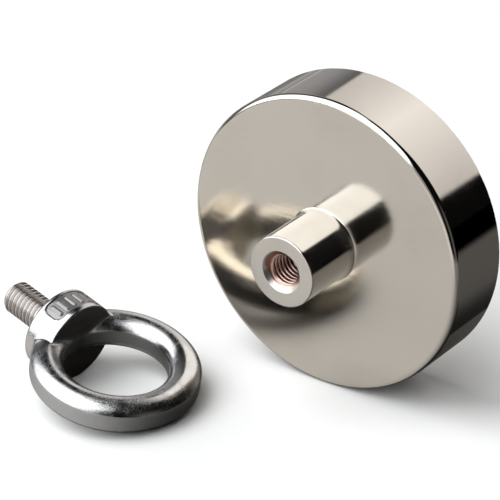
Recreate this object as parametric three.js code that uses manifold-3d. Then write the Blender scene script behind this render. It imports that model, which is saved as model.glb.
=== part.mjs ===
// A pot magnet for magnet fishing. It stands on its rim, with its lifting eye bolt unscrewed and lying beside it.
// Millimetres, +Z up. The pot's axis lies along Y: the threaded bush points to -Y and the pull face to +Y.
// The group's origin is the centre of the bottom of its bounding box.
import * as THREE from "three";
import { mergeVertices } from "three/addons/utils/BufferGeometryUtils.js";
import Module from "manifold-3d";

const wasm = await Module();
wasm.setup();

// ---- driving dimensions ----
const POT = { radius: 45, height: 22, floor: 8.5, wall: 7.5, edge: 0.6, mouthEdge: 0.4 };
const BUSH = { radius: 10.7, height: 20, edge: 0.35, beadRadius: 11.2, beadHeight: 0.6, spigotRadius: 8 };
const THREAD = { majorRadius: 5, minorRadius: 4.2, pitch: 1.5 };
const BORE = { mouthRadius: 6.4, threadDepth: 21, drillDepth: 23.5, clearance: 0.05 };
const MAGNET = { radius: 34.5, height: 12.6, edge: 0.5 };
const GLUE_THICKNESS = 0.3;
const RESIN_RECESS = 0.6;
const RING = { radius: 20, halfWidth: 5.1, halfHeight: 5.25, innerFlat: 15.2, outerFlat: 24.6 };
const COLLAR = { ringEnd: 15.2, seat: 25.5, ringEndRadius: 12.4, seatRadius: 12.5, ringEndEdge: 0.25, seatEdge: 0.6 };
const SHANK = { tip: 43.5, tipChamfer: 1.1 };
const PANEL = { from: 17.4, to: 23.8, depth: 0.5, halfAngle: THREE.MathUtils.degToRad(38) };
const LYING = { x: -43.5, y: -40.8, heading: THREE.MathUtils.degToRad(172) };

const ROUND = 72; // segments round the pot and everything coaxial with it
const EYE_ROUND = 48; // segments round the eye and its collar
const BAR_ROUND = 16; // corners of the eye's bar section
const THREAD_ROUND = 20; // segments in one turn of a thread

// ---- shape helpers ----
// A solid of revolution about Y, from [radius, y] pairs.
function lathe(pairs, segments = ROUND) {
  const outline = pairs.map(([radius, y]) => new THREE.Vector2(radius, y));
  return new THREE.LatheGeometry(outline, segments);
}

// The same with its axis along X.
function latheAlongX(pairs, segments = EYE_ROUND) {
  return lathe(pairs, segments).rotateZ(-Math.PI / 2);
}

function toSolid(geometry) {
  const bare = geometry.clone();
  bare.deleteAttribute("normal");
  bare.deleteAttribute("uv");
  const merged = mergeVertices(bare, 1e-4);
  const vertProperties = merged.attributes.position.array;
  const triVerts = new Uint32Array(merged.index.array);
  return new wasm.Manifold(new wasm.Mesh({ numProp: 3, vertProperties, triVerts }));
}

function toGeometry(solid) {
  const mesh = solid.getMesh();
  const geometry = new THREE.BufferGeometry();
  geometry.setAttribute("position", new THREE.BufferAttribute(mesh.vertProperties, mesh.numProp));
  geometry.setIndex(new THREE.BufferAttribute(mesh.triVerts, 1));
  geometry.computeVertexNormals();
  return geometry;
}

// A right-hand screw along +Y: a ribbon of crest, flank and root, wound so that each turn meets the next.
function screw(majorRadius, minorRadius, length) {
  const crestFlat = 1 / 8;
  const flank = 5 / 16;
  const ribbon = [
    [0, majorRadius],
    [crestFlat, majorRadius],
    [crestFlat + flank, minorRadius],
    [1 - flank, minorRadius],
  ];
  const last = ribbon.length - 1;
  const steps = (Math.ceil(length / THREAD.pitch) + 1) * THREAD_ROUND;
  const vertices = [];
  for (let m = 0; m <= steps; m++) {
    const angle = (2 * Math.PI * m) / THREAD_ROUND;
    for (const [phase, radius] of ribbon) {
      const y = THREAD.pitch * (m / THREAD_ROUND + phase);
      vertices.push(radius * Math.sin(angle), y, radius * Math.cos(angle));
    }
  }
  const faces = [];
  const at = (m, j) => m * ribbon.length + j;
  const quad = (a, b, c, d) => faces.push(a, b, c, a, c, d);
  for (let m = 0; m < steps; m++) {
    for (let j = 0; j < last; j++) quad(at(m, j), at(m + 1, j), at(m + 1, j + 1), at(m, j + 1));
  }
  for (let m = 0; m + THREAD_ROUND < steps; m++) {
    quad(at(m, last), at(m + 1, last), at(m + 1 + THREAD_ROUND, 0), at(m + THREAD_ROUND, 0));
  }
  // Each end is a fan from a point on the axis to the free edge of the end turn and the step across the ribbon.
  const turn = Array.from({ length: THREAD_ROUND + 1 }, (_, i) => i);
  const across = ribbon.map((_, j) => j);
  const start = [...turn.map((m) => at(m, 0)), ...across.slice(1).reverse().map((j) => at(0, j))];
  const end = [
    ...turn.map((m) => at(steps - THREAD_ROUND + m, last)),
    ...across.slice(0, last).reverse().map((j) => at(steps, j)),
  ];
  const startCentre = vertices.length / 3;
  vertices.push(0, -THREAD.pitch, 0);
  vertices.push(0, THREAD.pitch * (steps / THREAD_ROUND + 2), 0);
  start.forEach((v, i) => faces.push(start[(i + 1) % start.length], v, startCentre));
  end.forEach((v, i) => faces.push(v, end[(i + 1) % end.length], startCentre + 1));
  const geometry = new THREE.BufferGeometry();
  geometry.setAttribute("position", new THREE.Float32BufferAttribute(vertices, 3));
  geometry.setIndex(faces);
  return geometry;
}

// ---- magnet side: everything is turned about Y, with the pot's boss side at y = 0 ----
const cavityRadius = POT.radius - POT.wall;

function steelPot() {
  const { radius, height, floor, edge, mouthEdge } = POT;
  return lathe([
    [BUSH.spigotRadius, 0],
    [radius - edge, 0],
    [radius, edge],
    [radius, height - mouthEdge],
    [radius - mouthEdge, height],
    [cavityRadius + mouthEdge, height],
    [cavityRadius, height - mouthEdge],
    [cavityRadius, floor],
    [BUSH.spigotRadius, floor],
    [BUSH.spigotRadius, 0],
  ]);
}

// The hole is a countersink, a right-hand thread and, beyond it, the end of the tapping drill.
function threadedBush() {
  const { radius, height, edge, beadRadius, beadHeight, spigotRadius } = BUSH;
  const body = lathe([
    [0, -height],
    [radius - edge, -height],
    [radius, edge - height],
    [radius, -beadHeight],
    [beadRadius, -beadHeight / 2],
    [beadRadius, 0],
    [spigotRadius, 0],
    [spigotRadius, POT.floor],
    [0, POT.floor],
  ]);
  const { clearance, mouthRadius, threadDepth, drillDepth } = BORE;
  const bottomRadius = THREAD.minorRadius - clearance;
  const countersink = lathe(
    [
      [0, -height - 1],
      [mouthRadius + 1, -height - 1],
      [bottomRadius, mouthRadius - bottomRadius - height],
      [0, mouthRadius - bottomRadius - height],
    ],
    EYE_ROUND,
  );
  const drill = lathe(
    [
      [0, -height - 1],
      [bottomRadius, -height - 1],
      [bottomRadius, drillDepth - height],
      [0, drillDepth - height],
    ],
    THREAD_ROUND,
  );
  const tap = screw(THREAD.majorRadius + clearance, THREAD.minorRadius, threadDepth);
  tap.translate(0, -height - THREAD.pitch, 0);
  const hole = toSolid(tap).add(toSolid(drill)).add(toSolid(countersink));
  return toGeometry(toSolid(body).subtract(hole));
}

const magnetBottom = POT.floor + GLUE_THICKNESS;

function adhesiveFilm() {
  return lathe([
    [0, POT.floor],
    [MAGNET.radius, POT.floor],
    [MAGNET.radius, magnetBottom],
    [0, magnetBottom],
  ]);
}

function magnetDisc() {
  const { radius, height, edge } = MAGNET;
  return lathe([
    [0, magnetBottom],
    [radius, magnetBottom],
    [radius, magnetBottom + height - edge],
    [radius - edge, magnetBottom + height],
    [0, magnetBottom + height],
  ]);
}

function resinRing() {
  const top = POT.height - RESIN_RECESS;
  const shoulder = magnetBottom + MAGNET.height - MAGNET.edge;
  return lathe([
    [MAGNET.radius, POT.floor],
    [cavityRadius, POT.floor],
    [cavityRadius, top],
    [MAGNET.radius - (top - shoulder), top],
    [MAGNET.radius, shoulder],
    [MAGNET.radius, POT.floor],
  ]);
}

// ---- eye bolt: its shank runs along +X and its eye lies in the XY plane, centred on the origin ----
function eye() {
  const section = [];
  for (let i = 0; i <= BAR_ROUND; i++) {
    const angle = (2 * Math.PI * (i % BAR_ROUND)) / BAR_ROUND;
    const radius = RING.radius + RING.halfWidth * Math.cos(angle);
    const clipped = THREE.MathUtils.clamp(radius, RING.innerFlat, RING.outerFlat);
    section.push([clipped, RING.halfHeight * Math.sin(angle)]);
  }
  return lathe(section, EYE_ROUND).rotateX(Math.PI / 2);
}

function collar() {
  const { ringEnd, seat, ringEndRadius, seatRadius, ringEndEdge, seatEdge } = COLLAR;
  return latheAlongX([
    [0, ringEnd],
    [ringEndRadius - ringEndEdge, ringEnd],
    [ringEndRadius, ringEnd + ringEndEdge],
    [seatRadius, seat - seatEdge],
    [seatRadius - seatEdge, seat],
    [0, seat],
  ]);
}

function shank() {
  const start = COLLAR.seat - THREAD.pitch;
  const length = SHANK.tip - start;
  const threaded = screw(THREAD.majorRadius, THREAD.minorRadius, length + THREAD.pitch);
  threaded.translate(0, start - THREAD.pitch, 0).rotateZ(-Math.PI / 2);
  const envelope = latheAlongX([
    [0, start],
    [THREAD.majorRadius * 2, start],
    [THREAD.majorRadius * 2, SHANK.tip - SHANK.tipChamfer - THREAD.majorRadius],
    [THREAD.majorRadius - SHANK.tipChamfer, SHANK.tip],
    [0, SHANK.tip],
  ]);
  return toSolid(threaded).intersect(toSolid(envelope));
}

// The cutter for the shallow panel in the collar's side that faces +Z, where a real bolt carries its size mark.
function collarPanel() {
  const middle = Math.PI / 2;
  const from = middle - PANEL.halfAngle;
  const to = middle + PANEL.halfAngle;
  const sector = new THREE.Shape();
  sector.absarc(0, 0, COLLAR.seatRadius + 1, from, to, false);
  sector.absarc(0, 0, COLLAR.ringEndRadius - PANEL.depth, to, from, true);
  sector.closePath();
  const cutter = new THREE.ExtrudeGeometry(sector, { depth: PANEL.to - PANEL.from, bevelEnabled: false });
  const x = new THREE.Vector3(1, 0, 0);
  const y = new THREE.Vector3(0, 1, 0);
  const z = new THREE.Vector3(0, 0, 1);
  return cutter.applyMatrix4(new THREE.Matrix4().makeBasis(y, z, x)).translate(PANEL.from, 0, 0);
}

function eyeBolt() {
  const forging = toSolid(eye()).add(toSolid(collar())).add(shank());
  return toGeometry(forging.subtract(toSolid(collarPanel())));
}

// Lying down, the bolt touches the ground with the far side of its eye and the ring-side edge of its collar.
const eyeDrop = (tilt) =>
  RING.radius * Math.sin(tilt) + Math.hypot(RING.halfWidth * Math.sin(tilt), RING.halfHeight * Math.cos(tilt));
const collarDrop = (tilt) =>
  COLLAR.ringEndRadius * Math.cos(tilt) - (COLLAR.ringEnd + COLLAR.ringEndEdge) * Math.sin(tilt);

function lyingTilt() {
  let low = 0;
  let high = Math.PI / 4;
  for (let i = 0; i < 40; i++) {
    const middle = (low + high) / 2;
    if (eyeDrop(middle) < collarDrop(middle)) low = middle;
    else high = middle;
  }
  return low;
}

// ---- materials ----
const metal = (color, roughness) => new THREE.MeshStandardMaterial({ color, roughness, metalness: 1 });
const matte = (color, roughness) => new THREE.MeshStandardMaterial({ color, roughness, metalness: 0 });

const nickelPlate = metal(0xb5ada3, 0.16);
const bushPlate = metal(0xc0b9af, 0.22);
const magnetPlate = metal(0xc6c3bc, 0.3);
const stainless = metal(0xc2c1c0, 0.2);
const glue = matte(0xd6cfb8, 0.6);
const epoxy = matte(0x25272a, 0.45);

// ---- assembly ----
function piece(name, geometry, material) {
  const mesh = new THREE.Mesh(geometry, material);
  mesh.name = name;
  return mesh;
}

const magnetSide = new THREE.Group();
magnetSide.add(
  piece("steel_pot", steelPot(), nickelPlate),
  piece("threaded_bush", threadedBush(), bushPlate),
  piece("adhesive_film", adhesiveFilm(), glue),
  piece("magnet_disc", magnetDisc(), magnetPlate),
  piece("resin_ring", resinRing(), epoxy),
);
magnetSide.position.z = POT.radius;

const tilt = lyingTilt();
const tilted = new THREE.Group();
tilted.add(piece("eye_bolt", eyeBolt(), stainless));
tilted.rotation.y = -tilt;
const lying = new THREE.Group();
lying.add(tilted);
lying.rotation.z = LYING.heading;
lying.position.set(LYING.x, LYING.y, eyeDrop(tilt));

const layout = new THREE.Group();
layout.add(magnetSide, lying);
const box = new THREE.Box3().setFromObject(layout, true);
const centre = box.getCenter(new THREE.Vector3());
layout.position.set(-centre.x, -centre.y, -box.min.z);

const group = new THREE.Group();
group.add(layout);

export default group;
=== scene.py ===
"""Looks for a magnet-fishing pot magnet and its eye bolt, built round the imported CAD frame.

Shapes are worked out in millimetres and scaled to the frame's metres when a mesh is made.
The pot's axis is the frame's Y: the threaded bush points to -Y and the pull face to +Y.
"""

import math

import bmesh
import bpy
import numpy as np
from mathutils import Matrix, Vector


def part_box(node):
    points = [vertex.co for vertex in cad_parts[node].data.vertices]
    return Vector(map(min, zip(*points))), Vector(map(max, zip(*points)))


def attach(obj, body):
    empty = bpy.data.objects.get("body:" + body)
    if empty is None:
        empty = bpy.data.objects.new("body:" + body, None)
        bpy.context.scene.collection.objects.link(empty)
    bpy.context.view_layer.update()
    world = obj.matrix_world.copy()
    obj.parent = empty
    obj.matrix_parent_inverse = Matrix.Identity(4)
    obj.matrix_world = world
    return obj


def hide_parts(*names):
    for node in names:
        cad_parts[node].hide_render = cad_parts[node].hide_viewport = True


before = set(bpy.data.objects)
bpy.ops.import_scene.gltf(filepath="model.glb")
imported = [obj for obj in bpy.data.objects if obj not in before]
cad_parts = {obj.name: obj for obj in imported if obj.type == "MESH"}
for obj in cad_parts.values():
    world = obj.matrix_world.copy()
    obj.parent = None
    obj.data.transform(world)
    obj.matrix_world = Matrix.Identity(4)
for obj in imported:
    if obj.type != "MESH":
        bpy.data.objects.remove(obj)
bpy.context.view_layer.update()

MM = 0.001

# ---- driving dimensions, millimetres ----
POT = dict(floor=8.5, wall=7.5, edge=1.7, mouth_edge=0.4)
BUSH = dict(edge=0.5, spigot=8.0, cad_bead=0.5, root_out=0.62, root_run=2.4, root_step=0.06)
THREAD = dict(crest=5.0, root=4.18, pitch=1.5)
BORE = dict(mouth=6.4, thread_depth=21.0, drill_depth=23.5, clearance=0.1, cone=1.2)
MAGNET_EDGE = 0.5
RESIN_CREEP = 0.25
RING = dict(radius=20.0, half_width=5.1, half_height=5.25, inner_flat=15.2, outer_flat=24.6)
COLLAR = dict(
    ring_end=15.2,
    seat=25.5,
    ring_end_radius=12.4,
    seat_radius=12.5,
    ring_end_edge=0.25,
    seat_chamfer=0.55,
)
SHANK = dict(tip=43.5, tip_chamfer=1.1)
PANEL = dict(low=17.3, high=23.9, depth=0.5, half_angle=math.radians(38), corner=2.2)
BARS = dict(count=5, pitch=3.0, half_length=1.75, radius=0.62, drop=0.08)
BLEND = dict(flat=0.18, collar_edge=0.3, eye_to_collar=0.9, neck=0.5, panel_edge=0.25, bar_foot=0.22)
BOLT_HEADING = math.radians(172)

ROUND = 192  # segments round the pot and everything coaxial with it
THREAD_ROUND = 96  # segments in one turn of a thread
THREAD_ROWS = 16  # rows in one pitch of a thread
FAN = 1.0  # the radius, in millimetres, at which a flat end turns into a fan to its middle
FORGING_CELL = 0.32  # the cell of the grid that the eye and collar are meshed on


# ---- outlines ----
def rounded(corners, closed=False, arc_steps=10, support=0.12):
    """An outline from (radius, height, fillet) corners, each fillet an arc.

    An extra point beside each corner, at most support away, keeps the flat next to it looking flat.
    """
    outline = []
    count = len(corners)
    side_share = 0.3  # the extra point's greatest distance, as a share of its side
    for i, (r, a, fillet) in enumerate(corners):
        here = Vector((r, a))
        if not closed and i in (0, count - 1):
            outline.append(here)
            continue
        before = Vector(corners[i - 1][:2]) - here
        after = Vector(corners[(i + 1) % count][:2]) - here
        if fillet <= 0:
            outline.append(here + before.normalized() * min(support, before.length * side_share))
            outline.append(here)
            outline.append(here + after.normalized() * min(support, after.length * side_share))
            continue
        half = before.angle(after) / 2
        run = fillet / math.tan(half)
        centre = here + (before.normalized() + after.normalized()).normalized() * fillet / math.sin(half)
        start = here + before.normalized() * run
        end = here + after.normalized() * run
        a0 = math.atan2(start.y - centre.y, start.x - centre.x)
        sweep = math.atan2(end.y - centre.y, end.x - centre.x) - a0
        sweep = (sweep + math.pi) % (2 * math.pi) - math.pi
        outline.append(start + before.normalized() * min(support, (before.length - run) * side_share))
        for step in range(arc_steps + 1):
            angle = a0 + sweep * step / arc_steps
            outline.append(centre + Vector((math.cos(angle), math.sin(angle))) * fillet)
        outline.append(end + after.normalized() * min(support, (after.length - run) * side_share))
    return np.array([tuple(p) for p in outline])


# ---- meshes ----
def mesh_object(name, vertices_mm, faces, attributes=None):
    """A smooth-shaded object from millimetre vertices, with optional per-vertex vector attributes."""
    mesh = bpy.data.meshes.new(name)
    mesh.from_pydata((np.asarray(vertices_mm) * MM).tolist(), [], faces)
    for key, values in (attributes or {}).items():
        layer = mesh.attributes.new(key, "FLOAT_VECTOR", "POINT")
        layer.data.foreach_set("vector", np.asarray(values, np.float32).ravel())
    work = bmesh.new()
    work.from_mesh(mesh)
    bmesh.ops.recalc_face_normals(work, faces=work.faces)
    work.to_mesh(mesh)
    work.free()
    mesh.shade_smooth()
    piece = bpy.data.objects.new(name, mesh)
    bpy.context.scene.collection.objects.link(piece)
    return piece


def loft(radii, heights, place, cyclic=False):
    """Vertices, faces and (radius, height, angle) of rings stacked along an axis.

    radii is one row for each ring, with one radius for each segment. Unless the stack closes on itself,
    each end is closed by a fan to the axis. place turns (x, y, z), with z along the axis, into the frame's
    millimetres.
    """
    rows, segments = radii.shape
    angle = 2 * math.pi * np.arange(segments) / segments
    height = np.repeat(np.asarray(heights, float)[:, None], segments, 1)
    local = np.stack([radii * np.cos(angle), radii * np.sin(angle), height], -1).reshape(-1, 3)
    turned = np.stack([radii, height, np.broadcast_to(angle, radii.shape)], -1).reshape(-1, 3)
    faces = []
    for k in range(rows if cyclic else rows - 1):
        a, b = k * segments, (k + 1) % rows * segments
        for i in range(segments):
            j = (i + 1) % segments
            faces.append((a + i, a + j, b + j, b + i))
    if not cyclic:
        for row in (0, rows - 1):
            pole = len(local)
            local = np.vstack([local, (0, 0, heights[row])])
            turned = np.vstack([turned, (0, heights[row], 0)])
            start = row * segments
            faces += [(start + i, start + (i + 1) % segments, pole) for i in range(segments)]
    return place(local), faces, turned


def lathe_object(name, outline, place, cyclic=False, segments=ROUND):
    radii = np.repeat(outline[:, :1], segments, 1)
    vertices, faces, turned = loft(radii, outline[:, 1], place, cyclic)
    return mesh_object(name, vertices, faces, {"turned_mm": turned})


def smoothstep(t):
    t = np.clip(t, 0, 1)
    return t * t * (3 - 2 * t)


def thread_radius(heights, segments, crest, root):
    """Radii of a right-hand thread, a row for each height, with a flat crest and a rounded root."""
    angle = np.arange(segments) / segments
    phase = heights[:, None] / THREAD["pitch"] - angle[None, :]
    from_crest = np.abs((phase + 0.5) % 1 - 0.5)
    crest_half, flank, rounding = 1 / 16, 5 / 16, 0.4  # the first two are shares of a pitch
    fall = np.clip((from_crest - crest_half) / flank, 0, 1)
    fall = (1 - rounding) * fall + rounding * smoothstep(fall)
    return crest - (crest - root) * fall


# ---- the eye and collar, as a distance field ----
def smooth_max(a, b, k):
    h = np.clip(0.5 + 0.5 * (a - b) / k, 0, 1)
    return b + (a - b) * h + k * h * (1 - h)


def smooth_min(a, b, k):
    return -smooth_max(-a, -b, k)


def forging_distance(p):
    """Signed distance, roughly, of the eye and collar: the eye round the origin in XY, the shank along +X."""
    x, y, z = p[..., 0], p[..., 1], p[..., 2]
    around = np.hypot(x, y)
    wide, high = RING["half_width"], RING["half_height"]
    bar = (np.hypot((around - RING["radius"]) / wide, z / high) - 1) * wide
    bar = smooth_max(bar, around - RING["outer_flat"], BLEND["flat"])
    bar = smooth_max(bar, RING["inner_flat"] - around, BLEND["flat"])
    body = smooth_min(bar, collar_distance(x, y, z), BLEND["eye_to_collar"])
    out = np.hypot(y, z)
    neck_low, neck_high = COLLAR["seat"] - 2, COLLAR["seat"] + 1.2
    neck = np.maximum(out - THREAD["root"], np.maximum(neck_low - x, x - neck_high))
    return smooth_min(body, neck, BLEND["neck"])


def collar_distance(x, y, z):
    out = np.hypot(y, z)
    along = (x - COLLAR["ring_end"]) / (COLLAR["seat"] - COLLAR["ring_end"])
    radius = COLLAR["ring_end_radius"] + (COLLAR["seat_radius"] - COLLAR["ring_end_radius"]) * along
    ends = np.maximum(COLLAR["ring_end"] - x, x - COLLAR["seat"])
    chamfer = (out - radius + x - COLLAR["seat"]) * math.sqrt(0.5) + COLLAR["seat_chamfer"]
    disc = smooth_max(out - radius, ends, BLEND["collar_edge"])
    disc = smooth_max(disc, chamfer, BLEND["collar_edge"])
    return panel_cut(disc, x, y, z, out, radius)


def panel_cut(disc, x, y, z, out, radius):
    """A shallow round-ended panel in the collar's side, holding plain raised bars."""
    arc = np.arctan2(y, z) * COLLAR["seat_radius"]
    middle = (PANEL["low"] + PANEL["high"]) / 2
    half_length = PANEL["half_angle"] * COLLAR["seat_radius"]
    half_width = (PANEL["high"] - PANEL["low"]) / 2
    dx = np.maximum(np.abs(arc) - half_length + PANEL["corner"], 0)
    dy = np.maximum(np.abs(x - middle) - half_width + PANEL["corner"], 0)
    inside = np.hypot(dx, dy) - PANEL["corner"]
    pocket = np.maximum(inside, radius - PANEL["depth"] - out)
    cut = smooth_max(disc, -pocket, BLEND["panel_edge"])
    last = BARS["count"] // 2
    nearest = np.clip(np.round(arc / BARS["pitch"]), -last, last)
    reach = np.maximum(np.abs(x - middle) - BARS["half_length"], 0)
    bar = np.hypot(arc - nearest * BARS["pitch"], reach) - BARS["radius"]
    bar_top, bar_foot = out - radius + BARS["drop"], radius - 2 - out
    bars = np.maximum(bar, np.maximum(bar_top, bar_foot))
    return smooth_min(cut, bars, BLEND["bar_foot"])


def gradient(field, p, step=0.02):
    parts = []
    for axis in np.eye(3):
        parts.append((field(p + axis * step) - field(p - axis * step)) / (2 * step))
    return np.stack(parts, -1)


def sample(field, low, counts, cell):
    axes = [low[i] + cell * np.arange(counts[i]) for i in range(3)]
    values = np.empty(counts)
    for i, x in enumerate(axes[0]):
        slab = np.stack(np.meshgrid(x, axes[1], axes[2], indexing="ij"), -1)[0]
        values[i] = field(slab)
    return values


def mean_crossings(values):
    """For each cell, the mean place, in cells, where the field crosses 0 on its edges, and how many do."""
    cells = np.array(values.shape) - 1
    total = np.zeros((*cells, 3))
    crossings = np.zeros(cells)
    corner = np.stack(np.meshgrid(*[np.arange(c) for c in cells], indexing="ij"), -1).astype(float)
    for axis in range(3):
        others = [i for i in range(3) if i != axis]
        for da, db in ((0, 0), (0, 1), (1, 0), (1, 1)):
            first = [slice(None)] * 3
            second = [slice(None)] * 3
            for i, d in zip(others, (da, db)):
                first[i] = second[i] = slice(d, cells[i] + d)
            first[axis] = slice(0, cells[axis])
            second[axis] = slice(1, cells[axis] + 1)
            f0, f1 = values[tuple(first)], values[tuple(second)]
            crossed = (f0 < 0) != (f1 < 0)
            point = corner.copy()
            point[..., axis] += np.where(crossed, f0 / np.where(crossed, f0 - f1, 1), 0)
            point[..., others[0]] += da
            point[..., others[1]] += db
            total += point * crossed[..., None]
            crossings += crossed
    return total, crossings


def pull_to_surface(field, vertices, cell, passes=4, least_slope=0.05):
    for _ in range(passes):
        slope = gradient(field, vertices)
        size = np.maximum((slope**2).sum(-1, keepdims=True), least_slope)
        move = field(vertices)[:, None] * slope / size
        vertices = vertices - np.clip(move, -cell / 2, cell / 2)
    return vertices


def net_faces(inside, index):
    """A quad round each grid edge that the surface crosses, from the vertices of the four cells beside it."""
    faces = []
    for axis in range(3):
        b, c = (axis + 1) % 3, (axis + 2) % 3
        low_side = [slice(1, -1)] * 3
        high_side = [slice(1, -1)] * 3
        low_side[axis] = slice(0, -1)
        high_side[axis] = slice(1, None)
        change = inside[tuple(low_side)] != inside[tuple(high_side)]
        at = np.argwhere(change) + 1
        at[:, axis] -= 1
        starts_inside = inside[tuple(at.T)]
        ring = []
        for db, dc in ((-1, -1), (0, -1), (0, 0), (-1, 0)):
            cell_at = at.copy()
            cell_at[:, b] += db
            cell_at[:, c] += dc
            ring.append(index[tuple(cell_at.T)])
        quads = np.stack(ring, -1)
        quads[~starts_inside] = quads[~starts_inside][:, ::-1]
        faces.append(quads)
    return np.vstack(faces).tolist()


def surface_net(field, low, high, cell):
    """A quad mesh of field = 0: one vertex in each crossed cell, moved on to the surface."""
    counts = np.ceil((np.array(high) - low) / cell).astype(int) + 1
    values = sample(field, low, counts, cell)
    total, crossings = mean_crossings(values)
    used = crossings > 0
    index = np.full(used.shape, -1)
    index[used] = np.arange(used.sum())
    vertices = np.array(low) + cell * total[used] / crossings[used][:, None]
    return pull_to_surface(field, vertices, cell), net_faces(values < 0, index)


# ---- places, from the frame ----
def box_mm(node):
    low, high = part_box(node)
    return np.array(low) / MM, np.array(high) / MM


pot_low, pot_high = box_mm("steel_pot")
bush_low, bush_high = box_mm("threaded_bush")
magnet_low, magnet_high = box_mm("magnet_disc")
resin_low, resin_high = box_mm("resin_ring")
pot_radius = (pot_high[0] - pot_low[0]) / 2
pot_height = pot_high[1] - pot_low[1]
pot_centre = np.array([(pot_high[0] + pot_low[0]) / 2, pot_low[1], (pot_high[2] + pot_low[2]) / 2])
bush_height = pot_low[1] - bush_low[1]
bush_radius = (bush_high[0] - bush_low[0]) / 2 - BUSH["cad_bead"]
magnet_radius = (magnet_high[0] - magnet_low[0]) / 2


def on_pot_axis(local):
    """Local z runs along the frame's +Y from the pot's boss side, and x and y along the frame's +Z and +X."""
    return pot_centre + np.stack([local[:, 1], local[:, 2], local[:, 0]], -1)


# ---- magnet side ----
def steel_pot():
    cavity = pot_radius - POT["wall"]
    edge, mouth = POT["edge"], POT["mouth_edge"]
    corners = [
        (BUSH["spigot"], 0, 0),
        (pot_radius, 0, edge),
        (pot_radius, pot_height, mouth),
        (cavity, pot_height, mouth),
        (cavity, POT["floor"], 0.5),
        (BUSH["spigot"], POT["floor"], 0),
    ]
    piece = lathe_object("pot_shell", rounded(corners, closed=True), on_pot_axis, cyclic=True)
    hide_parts("steel_pot")
    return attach(piece, "magnet")


def bush_root():
    """The hollow curve, a quarter of an ellipse, where the bush's wall runs out on to the pot's back."""
    root = []
    for degrees in range(87, -1, -3):
        t = math.radians(degrees)
        out = BUSH["root_out"] * (1 - math.cos(t))
        root.append((bush_radius + out, -BUSH["root_step"] - BUSH["root_run"] * (1 - math.sin(t))))
    return root


def bush_outline():
    """Half of the bush's section, from its hidden end over its root and wall to its countersink."""
    root = bush_root()
    inside = [
        (FAN, POT["floor"], 0),
        (BUSH["spigot"], POT["floor"], 0.3),
        (BUSH["spigot"], 0, 0),
        (root[0][0] + 0.1, 0, 0),
        (root[0][0], -BUSH["root_step"], 0),
    ]
    front = [
        (bush_radius, -BUSH["root_step"] - BUSH["root_run"] - 0.1, 0),
        (bush_radius, -bush_height, BUSH["edge"]),
        (BORE["mouth"], -bush_height, 0.15),
        (BORE["mouth"] - 0.6, 0.6 - bush_height, 0),
    ]
    return np.vstack([rounded(inside)[:-1], root, rounded(front)])


def threaded_bush():
    outline = bush_outline()
    fixed = np.repeat(outline[:, :1], THREAD_ROUND, 1)
    row = THREAD["pitch"] / THREAD_ROWS
    start, end = 0.7 - bush_height, BORE["thread_depth"] - bush_height
    thread_heights = np.arange(start, end, row)
    countersink = BORE["mouth"] - (thread_heights + bush_height)
    crest = THREAD["crest"] + BORE["clearance"]
    turned = thread_radius(thread_heights, THREAD_ROUND, crest, THREAD["root"])
    turned = np.maximum(turned, countersink[:, None])
    drill = BORE["drill_depth"] - bush_height
    tail = np.array([(THREAD["root"], end), (THREAD["root"], drill), (FAN, drill + BORE["cone"])])
    radii = np.vstack([fixed, turned, np.repeat(tail[:, :1], THREAD_ROUND, 1)])
    heights = np.concatenate([outline[:, 1], thread_heights, tail[:, 1]])
    vertices, faces, attribute = loft(radii, heights, on_pot_axis)
    piece = mesh_object("bush", vertices, faces, {"turned_mm": attribute})
    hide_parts("threaded_bush")
    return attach(piece, "magnet")


def magnet_disc():
    low, high = magnet_low[1] - pot_low[1], magnet_high[1] - pot_low[1]
    corners = [
        (FAN, low, 0),
        (magnet_radius, low, 0.2),
        (magnet_radius, high, MAGNET_EDGE),
        (FAN, high, 0),
    ]
    piece = lathe_object("magnet", rounded(corners), on_pot_axis)
    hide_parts("magnet_disc")
    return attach(piece, "magnet")


def resin_ring():
    """The resin's free face is a shallow dish: it creeps up the wall and the magnet as it sets."""
    low, high = resin_low[1] - pot_low[1], resin_high[1] - pot_low[1]
    outer = pot_radius - POT["wall"]
    inner = magnet_radius
    creep, steps = RESIN_CREEP, 12
    outline = [(inner, low), (outer, low)]
    for step in range(steps + 1):
        t = step / steps
        dish = creep * (1 - math.sin(math.pi * t))
        outline.append((outer + (inner - outer) * t, high - creep + dish))
    piece = lathe_object("potting_resin", np.array(outline), on_pot_axis, cyclic=True)
    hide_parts("resin_ring")
    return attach(piece, "magnet")


# ---- eye bolt ----
def lying_tilt():
    """The tilt at which the far side of the eye and the collar's ring-side edge both touch the ground."""
    low, high = 0.0, math.pi / 4
    for _ in range(40):
        tilt = (low + high) / 2
        eye = RING["radius"] * math.sin(tilt)
        eye += math.hypot(RING["half_width"] * math.sin(tilt), RING["half_height"] * math.cos(tilt))
        lowest = COLLAR["ring_end"] + COLLAR["ring_end_edge"]
        disc = COLLAR["ring_end_radius"] * math.cos(tilt) - lowest * math.sin(tilt)
        low, high = (tilt, high) if eye < disc else (low, tilt)
    return low


def union(base, other):
    """base and other joined into one closed mesh, in base."""
    cut = base.modifiers.new("union", "BOOLEAN")
    cut.operation = "UNION"
    cut.solver = "EXACT"
    cut.object = other
    bpy.context.view_layer.update()
    evaluated = base.evaluated_get(bpy.context.evaluated_depsgraph_get())
    joined = bpy.data.meshes.new_from_object(evaluated)
    base.modifiers.clear()
    base.data = joined
    bpy.data.objects.remove(other)
    return base


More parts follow.
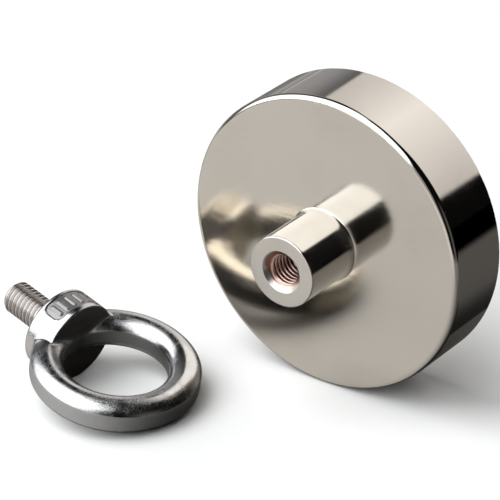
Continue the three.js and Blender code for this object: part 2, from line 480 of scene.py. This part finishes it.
def shank():
    """The threaded rod, from inside the collar to a chamfered tip. Its thread runs out at the seat."""
    start = COLLAR["seat"] - 1.5
    row = THREAD["pitch"] / THREAD_ROWS
    heights = np.arange(start, SHANK["tip"], row)
    heights = np.append(heights, SHANK["tip"])
    radii = thread_radius(heights, THREAD_ROUND, THREAD["crest"], THREAD["root"])
    to_tip = SHANK["tip"] - heights[:, None]
    chamfer = THREAD["crest"] - SHANK["tip_chamfer"] + to_tip
    past_seat = np.maximum(heights[:, None] - COLLAR["seat"] - 0.2, 0)
    runout = THREAD["root"] + 0.1 + past_seat * 1.2
    radii = np.minimum(np.minimum(radii, chamfer), runout)
    vertices, faces, _ = loft(radii, heights, lambda p: np.stack([p[:, 2], p[:, 0], p[:, 1]], -1))
    return mesh_object("shank", vertices, faces)


def eye_bolt():
    reach = RING["radius"] + RING["half_width"] + 1
    low = (-reach, -reach, -COLLAR["seat_radius"] - 1)
    high = (COLLAR["seat"] + 2, reach, COLLAR["seat_radius"] + 1)
    vertices, faces = surface_net(forging_distance, low, high, FORGING_CELL)
    piece = union(mesh_object("bolt", vertices, faces), shank())
    mesh = piece.data
    local = np.empty(len(mesh.vertices) * 3, np.float32)
    mesh.vertices.foreach_get("co", local)
    layer = mesh.attributes.new("bolt_mm", "FLOAT_VECTOR", "POINT")
    layer.data.foreach_set("vector", local / MM)
    turn = Matrix.Rotation(BOLT_HEADING, 4, "Z") @ Matrix.Rotation(-lying_tilt(), 4, "Y")
    mesh.transform(turn)
    corners = np.array([v.co for v in mesh.vertices])
    here = (corners.min(0) + corners.max(0)) / 2
    cad_low, cad_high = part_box("eye_bolt")
    mesh.transform(Matrix.Translation((cad_low + cad_high) / 2 - Vector(here)))
    mesh.shade_smooth()
    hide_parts("eye_bolt")
    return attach(piece, "bolt")


# ---- materials ----
class Nodes:
    """One node tree, with a short method for each kind of node the materials use."""

    def __init__(self, owner):
        owner.use_nodes = True
        self.tree = owner.node_tree
        self.tree.nodes.clear()

    def add(self, kind, inputs=None, **settings):
        node = self.tree.nodes.new(kind)
        for key, value in settings.items():
            setattr(node, key, value)
        for key, value in (inputs or {}).items():
            self.put(node.inputs[key], value)
        return node

    def put(self, socket, value):
        if isinstance(value, bpy.types.NodeSocket):
            self.tree.links.new(value, socket)
        elif value is not None:
            socket.default_value = value

    def math(self, operation, a, b=None, clamp=False):
        node = self.add("ShaderNodeMath", {0: a, 1: b}, operation=operation, use_clamp=clamp)
        return node.outputs[0]

    def dot(self, vector, other):
        node = self.add("ShaderNodeVectorMath", {0: vector, 1: other}, operation="DOT_PRODUCT")
        return node.outputs["Value"]

    def scaled(self, vector, factors):
        node = self.add("ShaderNodeVectorMath", {0: vector, 1: factors}, operation="MULTIPLY")
        return node.outputs["Vector"]

    def parts(self, vector):
        node = self.add("ShaderNodeSeparateXYZ", {0: vector})
        return node.outputs[0], node.outputs[1], node.outputs[2]

    def attribute(self, name):
        return self.add("ShaderNodeAttribute", attribute_name=name).outputs["Vector"]

    def place(self):
        return self.add("ShaderNodeTexCoord").outputs["Object"]

    def noise(self, vector, scale, detail=4.0, roughness=0.55):
        inputs = {"Vector": vector, "Scale": scale, "Detail": detail, "Roughness": roughness}
        return self.add("ShaderNodeTexNoise", inputs).outputs[0]

    def ramp(self, value, start, end, low=0.0, high=1.0, smooth=True):
        inputs = {"Value": value, "From Min": start, "From Max": end, "To Min": low, "To Max": high}
        kind = "SMOOTHSTEP" if smooth else "LINEAR"
        return self.add("ShaderNodeMapRange", inputs, interpolation_type=kind).outputs[0]

    def mix(self, factor, a, b):
        node = self.add("ShaderNodeMix", data_type="RGBA")
        self.put(node.inputs[0], factor)
        self.put(node.inputs[6], a if isinstance(a, bpy.types.NodeSocket) else (*a, 1.0))
        self.put(node.inputs[7], b if isinstance(b, bpy.types.NodeSocket) else (*b, 1.0))
        return node.outputs[2]

    def blend(self, factor, a, b):
        node = self.add("ShaderNodeMix", {0: factor, 2: a, 3: b}, data_type="FLOAT")
        return node.outputs[0]

    def bump(self, height, distance_mm, strength=1.0, normal=None):
        inputs = {"Height": height, "Distance": distance_mm * MM, "Strength": strength, "Normal": normal}
        return self.add("ShaderNodeBump", inputs).outputs[0]


def surface(name, build):
    """A material whose Principled inputs come from build(nodes)."""
    material = bpy.data.materials.new(name)
    nodes = Nodes(material)
    shader = nodes.add("ShaderNodeBsdfPrincipled", build(nodes))
    nodes.add("ShaderNodeOutputMaterial", {0: shader.outputs[0]})
    return material


def finish_with(piece, material):
    piece.data.materials.clear()
    piece.data.materials.append(material)


PER_MM = 1 / MM  # texture scales are in features for each millimetre

NICKEL = (0.665, 0.63, 0.58)
NICKEL_WORN = (0.70, 0.675, 0.64)
NICKEL_DULL = (0.625, 0.588, 0.535)
SPECK = (0.80, 0.79, 0.77)
SATIN_METAL = 0.72  # a rough plated face also scatters some light in all directions
COPPER = (0.74, 0.55, 0.48)
COPPER_DARK = (0.36, 0.17, 0.12)
STEEL = (0.61, 0.605, 0.60)
STEEL_PIT = (0.44, 0.44, 0.45)
STEEL_SATIN = (0.45, 0.46, 0.475)
STEEL_INNER_LINE = (0.26, 0.26, 0.265)
# painted shade for the collar's face inside the eye
STEEL_FACE_PAINTED_SHADE = (0.17, 0.16, 0.155)
STEEL_PANEL = (0.27, 0.25, 0.245)
STEEL_THREAD = (0.70, 0.665, 0.645)
# painted shade for the roots of the bolt's thread
THREAD_VALLEY_SHADE = (0.22, 0.18, 0.165)
# painted shade for the bolt's crevices
PAINTED_CREVICE_SHADE = (0.09, 0.08, 0.075)
# painted reflection: the cream and dark the bolt shows when seen in the plate
PAINTED_REFLECTION_CREAM = (0.90, 0.79, 0.62)
PAINTED_REFLECTION_DARK = (0.045, 0.04, 0.04)


def smudges(nodes, place):
    """0 to 1: broad faint handling marks, with finer streaks in them."""
    broad = nodes.ramp(nodes.noise(place, 0.035 * PER_MM, 3), 0.42, 0.68)
    fine = nodes.ramp(nodes.noise(nodes.scaled(place, (1.0, 1.0, 2.5)), 0.22 * PER_MM, 5), 0.4, 0.7)
    return nodes.math("MULTIPLY", broad, nodes.blend(0.5, fine, 1.0))


def dust(nodes, place, spacing_mm, size_mm):
    """0 to 1: sparse round specks."""
    cells = nodes.add("ShaderNodeTexVoronoi", {"Vector": place, "Scale": PER_MM / spacing_mm})
    reach = size_mm / spacing_mm
    return nodes.ramp(cells.outputs["Distance"], reach, reach * 0.5)


def pot_nickel(nodes):
    place = nodes.place()
    _, height, _ = nodes.parts(nodes.attribute("turned_mm"))
    marks = smudges(nodes, place)
    back = nodes.ramp(height, 0.6, 0.15)
    plate = nodes.math("LESS_THAN", height, 0.02)
    ripple = nodes.noise(place, 0.5 * PER_MM, 2)
    grain = nodes.noise(place, 2.6 * PER_MM, 3, 0.6)
    lie = nodes.noise(nodes.scaled(place, (0.10, 1.0, 1.0)), 0.7 * PER_MM, 4, 0.6)
    specks = nodes.math("MAXIMUM", dust(nodes, place, 14.0, 0.24), dust(nodes, place, 6.3, 0.12))
    polish = nodes.blend(back, 0.05, 0.10)
    roughness = nodes.math("ADD", polish, nodes.math("MULTIPLY", marks, 0.03))
    roughness = nodes.math("ADD", roughness, nodes.math("MULTIPLY", grain, 0.03))
    roughness = nodes.math("ADD", roughness, nodes.math("MULTIPLY", specks, 0.3))
    colour = nodes.mix(marks, NICKEL, NICKEL_DULL)
    colour = nodes.mix(nodes.math("MULTIPLY", grain, 0.12), colour, NICKEL_WORN)
    colour = nodes.mix(nodes.math("MULTIPLY", specks, 0.5), colour, SPECK)
    mouth = nodes.ramp(height, pot_height - 0.35, pot_height - 0.05)
    roughness = nodes.blend(mouth, roughness, 0.32)
    normal = nodes.bump(ripple, 0.01, 0.25)
    normal = nodes.bump(grain, 0.006, 0.3, normal)
    normal = nodes.bump(nodes.math("MULTIPLY", lie, plate), 0.024, 0.4, normal)
    metal = nodes.blend(mouth, 1.0, SATIN_METAL)
    return {"Base Color": colour, "Metallic": metal, "Roughness": roughness, "Normal": normal}


def bush_nickel(nodes):
    place = nodes.place()
    radius, height, _ = nodes.parts(nodes.attribute("turned_mm"))
    marks = smudges(nodes, place)
    depth = nodes.math("ADD", height, bush_height)
    in_hole = nodes.math("LESS_THAN", radius, BORE["mouth"] + 0.05)
    end_face = nodes.math("MULTIPLY", nodes.ramp(depth, 0.12, 0.02), nodes.math("GREATER_THAN", radius, 6.2))
    grain = nodes.noise(place, 8 * PER_MM, 3)
    ragged = nodes.math("MULTIPLY", nodes.math("SUBTRACT", nodes.noise(place, 1.2 * PER_MM, 3), 0.5), 1.6)
    _, _, up = nodes.parts(place)
    middle = pot_centre[2] * MM
    thin = nodes.ramp(up, middle - 4.5 * MM, middle + 1.5 * MM, 1.1, 0.0)
    reach = nodes.math("SUBTRACT", nodes.math("ADD", depth, nodes.math("MULTIPLY", ragged, 0.3)), thin)
    plated = nodes.ramp(reach, 0.1, 0.7)
    copper = nodes.math("MULTIPLY", in_hole, plated)
    # painted shade: the copper is coloured darker deeper in the thread's grooves, mixed with random grain
    groove_shade = nodes.ramp(radius, THREAD["root"] + 0.1, THREAD["crest"])
    copper_tone = nodes.mix(nodes.blend(0.35, groove_shade, grain), COPPER, COPPER_DARK)
    on_cone = nodes.ramp(radius, THREAD["crest"] + 0.15, THREAD["crest"] + 0.4, 0.0, 0.55)
    copper_tone = nodes.mix(on_cone, copper_tone, COPPER_DARK)
    bare = nodes.mix(nodes.math("MULTIPLY", grain, 0.25), NICKEL, NICKEL_WORN)
    colour = nodes.mix(copper, nodes.mix(marks, bare, NICKEL_DULL), copper_tone)
    turning = nodes.math("SINE", nodes.math("MULTIPLY", radius, 2 * math.pi / 0.16))
    lines = nodes.math("MULTIPLY", turning, end_face)
    in_corner = nodes.ramp(height, -7.0, -1.0, 0.08, 0.17)
    roughness = nodes.blend(end_face, in_corner, 0.34)
    roughness = nodes.blend(in_hole, roughness, 0.32)
    roughness = nodes.math("ADD", roughness, nodes.math("MULTIPLY", marks, 0.03))
    normal = nodes.bump(lines, 0.004, 0.5)
    normal = nodes.bump(grain, 0.006, 0.3, normal)
    return {"Base Color": colour, "Metallic": 1.0, "Roughness": roughness, "Normal": normal}


def length_of(nodes, a, b):
    return nodes.math("SQRT", nodes.math("ADD", nodes.math("POWER", a, 2), nodes.math("POWER", b, 2)))


def panel_mask(nodes, x, y, z):
    turn = nodes.math("ABSOLUTE", nodes.math("ARCTAN2", y, z))
    low = nodes.math("GREATER_THAN", x, PANEL["low"] + 0.1)
    high = nodes.math("LESS_THAN", x, PANEL["high"] - 0.1)
    near = nodes.math("LESS_THAN", turn, PANEL["half_angle"] - 0.02)
    return nodes.math("MULTIPLY", near, nodes.math("MULTIPLY", low, high))


def painted_reflection_in_plate(nodes, colour):
    """The bolt's colour, with a painted reflection where it is seen mirrored in the pot's plate.

    This is for the picture only. A ray that comes to the bolt from the plate gets a painted reflection in the
    colour:
    dark where the bolt would mirror the plate in turn, and cream where it would mirror the room.
    """
    path = nodes.add("ShaderNodeLightPath")
    here = nodes.add("ShaderNodeNewGeometry")
    _, here_y, _ = nodes.parts(here.outputs["Position"])
    _, back_y, _ = nodes.parts(here.outputs["Incoming"])
    start_y = nodes.math("ADD", here_y, nodes.math("MULTIPLY", back_y, path.outputs["Ray Length"]))
    from_plate = nodes.math("GREATER_THAN", start_y, (pot_low[1] - 1) * MM)
    mirrored = nodes.math("MULTIPLY", path.outputs["Is Glossy Ray"], from_plate)
    _, to_plate, _ = nodes.parts(nodes.add("ShaderNodeTexCoord").outputs["Reflection"])
    # painted reflection: cream where the surface faces away from the plate, dark where it faces the plate
    painted_reflection = nodes.mix(nodes.ramp(to_plate, -0.1, 0.2), PAINTED_REFLECTION_CREAM, PAINTED_REFLECTION_DARK)
    return nodes.mix(nodes.math("MULTIPLY", mirrored, 0.9), colour, painted_reflection)


def stainless(nodes):
    """A polished forging with fine pits and satin flats and a silvery thread, with painted shade and
    reflection:
    the face inside the eye, crevices and thread roots are painted dark as shade, and a painted reflection is
    used where the bolt is seen in the plate.
    """
    spot = nodes.attribute("bolt_mm")
    x, y, z = nodes.parts(spot)
    around, out = length_of(nodes, x, y), length_of(nodes, y, z)
    thread = nodes.math("GREATER_THAN", x, COLLAR["seat"] + 0.1)
    # painted shade: the collar's face inside the eye is coloured dark, for the shade it sits in and faces
    off_face = nodes.math("ABSOLUTE", nodes.math("SUBTRACT", x, COLLAR["ring_end"]))
    face = nodes.math("MULTIPLY", nodes.ramp(off_face, 0.35, 0.12),
                      nodes.math("LESS_THAN", out, COLLAR["ring_end_radius"] - 0.3))
    on_ring = nodes.math("LESS_THAN", x, COLLAR["ring_end"] + 3)
    outer, inner = RING["outer_flat"], RING["inner_flat"]
    band = nodes.math("MULTIPLY", nodes.ramp(around, outer - 0.18, outer - 0.08), on_ring)
    inner_line = nodes.math("MULTIPLY", nodes.ramp(around, inner + 0.16, inner + 0.08), on_ring)
    panel = panel_mask(nodes, x, y, z)
    satin = nodes.math("MAXIMUM", nodes.math("MAXIMUM", band, inner_line), panel)
    swirl = nodes.noise(spot, 0.35, 4)
    grain = nodes.noise(spot, 2.4, 4, 0.65)
    pit_zone = nodes.ramp(nodes.noise(spot, 0.16, 2), 0.36, 0.6, 0.3, 1.0)
    pits = nodes.math("MULTIPLY", nodes.ramp(grain, 0.42, 0.64), pit_zone)
    grind = nodes.noise(nodes.scaled(spot, (0.25, 0.25, 5.0)), 2.2, 3)
    # painted shade: the colour is darkened where ambient occlusion finds crevices, except on the thread
    shade = nodes.add("ShaderNodeAmbientOcclusion", {"Distance": 2 * MM}, samples=8).outputs["AO"]
    crevice_shade = nodes.math("MULTIPLY", nodes.ramp(shade, 0.8, 0.4), nodes.math("SUBTRACT", 1.0, thread))
    # painted shade: the thread is coloured darker towards its roots
    valley_shade = nodes.math("MULTIPLY", thread, nodes.ramp(out, THREAD["crest"] - 0.1, THREAD["root"]))
    roughness = nodes.ramp(swirl, 0.3, 0.7, 0.12, 0.19)
    roughness = nodes.blend(satin, roughness, 0.36)
    roughness = nodes.blend(face, roughness, 0.42)
    roughness = nodes.math("ADD", roughness, nodes.math("MULTIPLY", pits, 0.14))
    roughness = nodes.blend(thread, roughness, 0.26)
    colour = nodes.mix(nodes.math("MULTIPLY", pits, 0.6), STEEL, STEEL_PIT)
    colour = nodes.mix(nodes.math("MULTIPLY", satin, 0.6), colour, STEEL_SATIN)
    colour = nodes.mix(nodes.math("MULTIPLY", inner_line, 0.7), colour, STEEL_INNER_LINE)
    colour = nodes.mix(face, colour, STEEL_FACE_PAINTED_SHADE)
    colour = nodes.mix(nodes.math("MULTIPLY", panel, 0.7), colour, STEEL_PANEL)
    colour = nodes.mix(thread, colour, STEEL_THREAD)
    colour = nodes.mix(nodes.math("MULTIPLY", valley_shade, 0.55), colour, THREAD_VALLEY_SHADE)
    colour = nodes.mix(nodes.math("MULTIPLY", crevice_shade, 0.75), colour, PAINTED_CREVICE_SHADE)
    # painted reflection, for rays that come from the plate
    colour = painted_reflection_in_plate(nodes, colour)
    normal = nodes.bump(swirl, 0.08, 0.3)
    normal = nodes.bump(nodes.math("MULTIPLY", pits, -1.0), 0.024, 0.5, normal)
    normal = nodes.bump(nodes.math("MULTIPLY", grind, satin), 0.02, 0.4, normal)
    return {"Base Color": colour, "Metallic": 1.0, "Roughness": roughness, "Normal": normal}


def magnet_plate(nodes):
    place = nodes.place()
    marks = smudges(nodes, place)
    grain = nodes.noise(place, 5 * PER_MM, 4)
    scratch = nodes.noise(nodes.scaled(place, (0.3, 1.0, 6.0)), 0.9 * PER_MM, 4)
    scuffs = nodes.ramp(scratch, 0.60, 0.66)
    colour = nodes.mix(marks, (0.66, 0.645, 0.615), (0.57, 0.55, 0.515))
    roughness = nodes.math("ADD", nodes.ramp(marks, 0, 1, 0.26, 0.36), nodes.math("MULTIPLY", scuffs, 0.12))
    normal = nodes.bump(grain, 0.01, 0.35)
    normal = nodes.bump(scuffs, 0.006, 0.4, normal)
    return {"Base Color": colour, "Metallic": SATIN_METAL, "Roughness": roughness, "Normal": normal}


def epoxy(nodes):
    place = nodes.place()
    cloud = nodes.noise(place, 0.25 * PER_MM, 4)
    grit = nodes.noise(place, 3 * PER_MM, 3)
    bubbles = nodes.add("ShaderNodeTexVoronoi", {"Vector": place, "Scale": 0.6 * PER_MM}).outputs["Distance"]
    pinholes = nodes.ramp(bubbles, 0.16, 0.08)
    colour = nodes.mix(cloud, (0.012, 0.013, 0.015), (0.035, 0.036, 0.038))
    roughness = nodes.ramp(cloud, 0.3, 0.7, 0.28, 0.5)
    normal = nodes.bump(grit, 0.03, 0.4)
    normal = nodes.bump(nodes.math("MULTIPLY", pinholes, -1.0), 0.12, 0.7, normal)
    return {"Base Color": colour, "Roughness": roughness, "Normal": normal, "Coat Weight": 0.3}


def cured_adhesive(nodes):
    place = nodes.place()
    cloud = nodes.noise(place, 0.3 * PER_MM, 4)
    colour = nodes.mix(cloud, (0.62, 0.58, 0.44), (0.74, 0.70, 0.56))
    normal = nodes.bump(cloud, 0.05, 0.4)
    return {"Base Color": colour, "Roughness": nodes.ramp(cloud, 0.3, 0.7, 0.45, 0.65), "Normal": normal}


# ---- build ----
pot = steel_pot()
bush = threaded_bush()
magnet = magnet_disc()
resin = resin_ring()
bolt = eye_bolt()

finish_with(pot, surface("pot_nickel", pot_nickel))
finish_with(bush, surface("bush_nickel", bush_nickel))
finish_with(magnet, surface("magnet_plate", magnet_plate))
finish_with(resin, surface("potting_epoxy", epoxy))
finish_with(bolt, surface("forged_stainless", stainless))
finish_with(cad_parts["adhesive_film"], surface("cured_adhesive", cured_adhesive))


# ---- studio ----
# The angles here are in degrees: front is an azimuth from -Y, positive towards +X, and back is one from +Y,
# positive towards -X. A pair of angles given to a ramp is where a soft edge starts and where it ends.
FLOOR_HALF = 4.0  # metres
FLOOR_LEVEL = 0.95  # the radiance of the open floor under these lights
FLOOR_FADE = (0.25, 0.9)  # metres from the middle, where the floor turns into the backdrop
BACKDROP = (0.97, 0.97, 0.965)
BLACK = (0.0, 0.0, 0.0)
UNLIT = (0.004, 0.004, 0.004)
GROUND_TINT = (1.0, 0.962, 0.915)
KEY = dict(strength=2.15, tint=(0.955, 0.98, 1.0))
SIDE = dict(strength=0.12, tint=(0.93, 0.96, 1.0))
REAR = dict(tint=(1.0, 0.96, 0.93), left_edge=35.0)
DIM = dict(tint=(0.97, 0.97, 1.0))
TOP = dict(strength=0.9, tint=(1.0, 1.0, 1.0))


def direction(azimuth, elevation):
    """A unit vector: azimuth 0 is -Y and 90 is +X, and elevation is up from the ground."""
    a, e = math.radians(azimuth), math.radians(elevation)
    return Vector((math.sin(a) * math.cos(e), -math.cos(a) * math.cos(e), math.sin(e)))


def heading(nodes, ray, facing):
    """The ray's azimuth in degrees, from -180 to 180, measured from the azimuth it is facing."""
    ahead, side = direction(facing, 0), direction(facing + 90, 0)
    angle = nodes.math("ARCTAN2", nodes.dot(ray, side), nodes.dot(ray, ahead))
    return nodes.math("DEGREES", angle)


def height_angle(nodes, ray):
    _, _, up = nodes.parts(ray)
    return nodes.math("DEGREES", nodes.math("ARCSINE", up))


def between(nodes, value, low, high, soft_low, soft_high):
    """1 inside low to high, falling to 0 over the softness at each end."""
    rise = nodes.ramp(value, low - soft_low, low + soft_low)
    fall = nodes.ramp(value, high + soft_high, high - soft_high)
    return nodes.math("MULTIPLY", rise, fall)


def along(nodes, azimuth, elevation, across, up):
    """How far a ray lies along a slanting direction, for the slanted edges of the panels."""
    across_part = nodes.math("MULTIPLY", azimuth, across)
    return nodes.math("ADD", across_part, nodes.math("MULTIPLY", elevation, up))


def product(nodes, *factors):
    total = factors[0]
    for factor in factors[1:]:
        total = nodes.math("MULTIPLY", total, factor)
    return total


def ground_tone(nodes, front, elevation):
    """How bright the ground looks in the metal: pale to the front left, and dark behind and to the right."""
    below = nodes.math("MAXIMUM", nodes.ramp(elevation, -11, -15), nodes.ramp(front, 35, -5))
    below = product(nodes, below, nodes.ramp(elevation, -3, -10))
    rise = nodes.ramp(front, -165, -55, 0.12, 0.66)
    fall = nodes.ramp(front, -40, 80, 1.0, 0.16, smooth=False)
    deep = product(nodes, nodes.ramp(elevation, -33, -42), nodes.ramp(front, 90, 130))
    ground = product(nodes, rise, fall, nodes.ramp(deep, 0, 1, 1.0, 0.22, smooth=False), below)
    return nodes.math("ADD", ground, horizon_fill(nodes, front, elevation))


def horizon_fill(nodes, front, elevation):
    """Faint light low in front, low to the right, and along the horizon at the back left."""
    ahead = product(nodes, between(nodes, front, -18, 26, 12, 7), 0.4)
    right = product(nodes, between(nodes, front, 66, 96, 12, 12), 0.12)
    low = product(nodes, nodes.math("ADD", ahead, right), between(nodes, elevation, -24, 20, 8, 8))
    back_left = between(nodes, front, -150, -95, 6, 20)
    rim = product(nodes, back_left, between(nodes, elevation, -8, 0, 3, 1), 0.36)
    return nodes.math("ADD", low, rim)


def key_panel(nodes, front, elevation):
    """The large panel at the front left, with its two lower edges slanted."""
    lower_left = along(nodes, front, elevation, 0.6, 0.8)
    lower_right = along(nodes, front, elevation, -0.7, 0.7)
    left_end = nodes.ramp(elevation, 40, 65, -93, -104, smooth=False)
    past_end = nodes.math("SUBTRACT", front, left_end)
    slanted = product(nodes, nodes.ramp(lower_left, -44, -35), nodes.ramp(lower_right, 4, 7))
    upright = product(nodes, nodes.ramp(past_end, -6, 6), nodes.ramp(front, 46, 40))
    return product(nodes, slanted, between(nodes, elevation, -4, 84, 6, 5), upright)


def side_panel(nodes, front, elevation):
    return product(nodes, between(nodes, front, -125, -35, 8, 12), between(nodes, elevation, -5, 30, 5, 8))


def past_rear(nodes, back, elevation):
    """How far a ray lies past the rear panel's left edge, which leans to the right above 29 degrees."""
    edge = nodes.math("SUBTRACT", REAR["left_edge"], nodes.ramp(elevation, 29, 60, 0, 25, smooth=False))
    return nodes.math("SUBTRACT", back, edge)


def rear_panel(nodes, back, elevation):
    """The mask of the panel behind, and its glow, which grows to the right and upwards."""
    right = along(nodes, back, elevation, 0.7, 0.7)
    past = past_rear(nodes, back, elevation)
    ends = product(nodes, nodes.ramp(past, 0.6, -0.4), nodes.ramp(back, -42, -38))
    mask = product(nodes, nodes.ramp(right, -17.6, -15.4), ends, between(nodes, elevation, 0, 60, 5, 5))
    across = nodes.ramp(back, 35, 0, 0.8, 1.26, smooth=False)
    return mask, product(nodes, across, nodes.ramp(right, -13, 28, 0.64, 1.0, smooth=False))


def dim_panel(nodes, back, elevation):
    """The mask of the fainter panel to the left of the rear one, and its glow."""
    past = past_rear(nodes, back, elevation)
    ends = product(nodes, nodes.ramp(past, -0.4, 0.6), nodes.ramp(back, 78, 60))
    mask = product(nodes, ends, between(nodes, elevation, -4, 40, 4, 7))
    glow = product(nodes, nodes.ramp(past, 0, 7, 0.14, 0.38), nodes.ramp(past, 8, 26, 1.0, 0.35))
    return mask, glow


def top_panel(nodes, left, elevation):
    return product(nodes, between(nodes, left, -75, 75, 25, 25), between(nodes, elevation, 72, 100, 8, 5))


def add_light(nodes, total, mask, strength, tint):
    bright = nodes.mix(mask, BLACK, tint)
    strong = nodes.add("ShaderNodeVectorMath", {0: bright, "Scale": strength}, operation="SCALE").outputs[0]
    return nodes.add("ShaderNodeVectorMath", {0: total, 1: strong}, operation="ADD").outputs[0]


def sky():
    """A dark studio with large soft panels. The camera sees a plain pale backdrop instead."""
    world = bpy.data.worlds.new("studio")
    bpy.context.scene.world = world
    nodes = Nodes(world)
    ray = nodes.add("ShaderNodeTexCoord").outputs["Generated"]
    elevation = height_angle(nodes, ray)
    front, back, left = (heading(nodes, ray, facing) for facing in (0, 180, -90))
    total = nodes.mix(0.0, UNLIT, UNLIT)
    total = add_light(nodes, total, key_panel(nodes, front, elevation), KEY["strength"], KEY["tint"])
    total = add_light(nodes, total, side_panel(nodes, front, elevation), SIDE["strength"], SIDE["tint"])
    total = add_light(nodes, total, *rear_panel(nodes, back, elevation), REAR["tint"])
    total = add_light(nodes, total, *dim_panel(nodes, back, elevation), DIM["tint"])
    total = add_light(nodes, total, top_panel(nodes, left, elevation), TOP["strength"], TOP["tint"])
    total = add_light(nodes, total, ground_tone(nodes, front, elevation), 1.0, GROUND_TINT)
    seen = nodes.mix(nodes.add("ShaderNodeLightPath").outputs["Is Camera Ray"], total, BACKDROP)
    shader = nodes.add("ShaderNodeBackground", {"Color": seen, "Strength": 1.0})
    nodes.add("ShaderNodeOutputWorld", {0: shader.outputs[0]})


def floor_finish(nodes):
    """Plain and pale, fading into the backdrop. For rays mirrored off the metal its colour is painted shade,
    darker behind and to the right.
    """
    place = nodes.place()
    cloud = nodes.noise(place, 3.0, 3)
    pale = nodes.mix(cloud, (0.86, 0.86, 0.85), (0.88, 0.88, 0.87))
    # painted shade: rays mirrored off the metal see the floor coloured by direction, darker behind and to the
    # right
    ray = nodes.scaled(nodes.add("ShaderNodeNewGeometry").outputs["Incoming"], (-1.0, -1.0, -1.0))
    painted_ground_shade = ground_tone(nodes, heading(nodes, ray, 0), height_angle(nodes, ray))
    tinted = [0.87 * c for c in GROUND_TINT]
    mirrored = nodes.mix(nodes.math("DIVIDE", painted_ground_shade, FLOOR_LEVEL), BLACK, tinted)
    path = nodes.add("ShaderNodeLightPath")
    distance = nodes.add("ShaderNodeVectorMath", {0: place}, operation="LENGTH").outputs["Value"]
    far = nodes.math("MULTIPLY", nodes.ramp(distance, *FLOOR_FADE), path.outputs["Is Camera Ray"])
    colour = nodes.mix(path.outputs["Is Glossy Ray"], pale, mirrored)
    colour = nodes.mix(far, colour, BLACK)
    return {"Base Color": colour, "Roughness": 0.9, "Specular IOR Level": 0.0,
            "Emission Color": (*BACKDROP, 1.0), "Emission Strength": far}


def floor():
    half = FLOOR_HALF
    corners = [(-half, -half, 0), (half, -half, 0), (half, half, 0), (-half, half, 0)]
    mesh = bpy.data.meshes.new("studio_floor")
    mesh.from_pydata(corners, [], [(0, 1, 2, 3)])
    plane = bpy.data.objects.new("studio_floor", mesh)
    bpy.context.scene.collection.objects.link(plane)
    finish_with(plane, surface("pale_floor", floor_finish))


def overhead_light():
    """A soft disc from the front left and above, for matt surfaces: the metal doesn't mirror it."""
    azimuth, elevation, distance, size, power = -50, 60, 1.4, 1.2, 8
    lamp = bpy.data.lights.new("overhead", "AREA")
    lamp.shape = "DISK"
    lamp.size = size
    lamp.energy = power
    holder = bpy.data.objects.new("overhead", lamp)
    holder.location = direction(azimuth, elevation) * distance
    holder.rotation_euler = direction(azimuth, elevation).to_track_quat("Z", "Y").to_euler()
    holder.visible_glossy = False
    bpy.context.scene.collection.objects.link(holder)


def camera():
    """The photograph's view: a long lens from the front right and above, aimed left of the pot."""
    azimuth, elevation, distance = 35.0, 27.6, 0.830
    aim_left, aim_down = math.radians(1.41), math.radians(0.1)
    lens = bpy.data.cameras.new("photo_view")
    lens.sensor_width = 36.0
    lens.lens = 212.0
    to_pot = direction(azimuth, elevation).to_track_quat("Z", "Y").to_matrix()
    aim = Matrix.Rotation(aim_left, 3, "Y") @ Matrix.Rotation(-aim_down, 3, "X")
    view = bpy.data.objects.new("photo_view", lens)
    view.location = Vector(pot_centre * MM) + direction(azimuth, elevation) * distance
    view.rotation_euler = (to_pot @ aim).to_euler()
    bpy.context.scene.collection.objects.link(view)
    bpy.context.scene.camera = view


floor()
sky()
overhead_light()
camera()
bpy.context.scene.view_settings.view_transform = "Standard"
